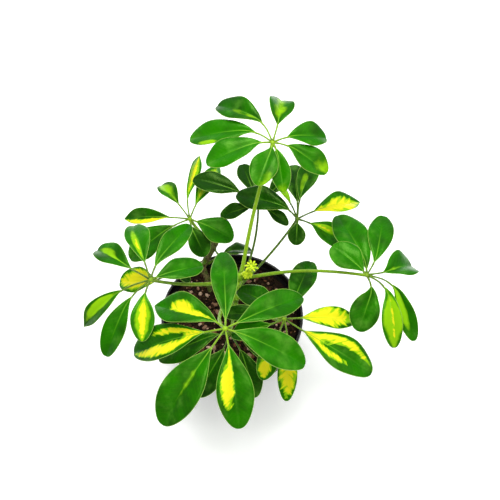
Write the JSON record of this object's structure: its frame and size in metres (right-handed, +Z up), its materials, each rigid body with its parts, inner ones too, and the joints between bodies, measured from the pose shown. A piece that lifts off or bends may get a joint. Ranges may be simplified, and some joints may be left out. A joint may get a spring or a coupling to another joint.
{
  "type": "potted umbrella plant",
  "caption": "Potted umbrella plant: whorls of glossy green leaflets, some patched with yellow, on long green stalks rising from soil in a low black nursery pot.",
  "frame": {"origin": "centre of the flat pad under the pot, on the surface that the pot stands on", "axes": "+Z up; -Y is the plant's front, with +X to the right"},
  "size_m": [0.2722, 0.2898, 0.2632],
  "materials": {
    "pot_plastic": "satin",
    "soil": "matte",
    "green_stem": "satin",
    "woody_stem": "matte",
    "petiole": "satin",
    "leaf": "gloss",
    "young_shoot": "satin"
  },
  "bodies": {
    "root": {"nursery_pot": "pot_plastic", "potting_soil": "soil", "main_stem": "green_stem", "side_stem": "woody_stem", "young_shoot": "young_shoot", "petiole_top": "petiole", "leaflets_top": "leaf", "petiole_upper_left": "petiole", "leaflets_upper_left": "leaf", "petiole_upper_right": "petiole", "leaflets_upper_right": "leaf", "petiole_right": "petiole", "leaflets_right": "leaf", "petiole_left": "petiole", "leaflets_left": "leaf", "petiole_front": "petiole", "leaflets_front": "leaf", "petiole_lower_right": "petiole", "leaflets_lower_right": "leaf", "petiole_back": "petiole", "leaflets_back": "leaf", "petiole_lower_front": "petiole", "leaflets_lower_front": "leaf", "petiole_lower_left": "petiole", "leaflets_lower_left": "leaf", "petiole_low_back": "petiole", "leaflets_low_back": "leaf"}
  },
  "joints": []
}
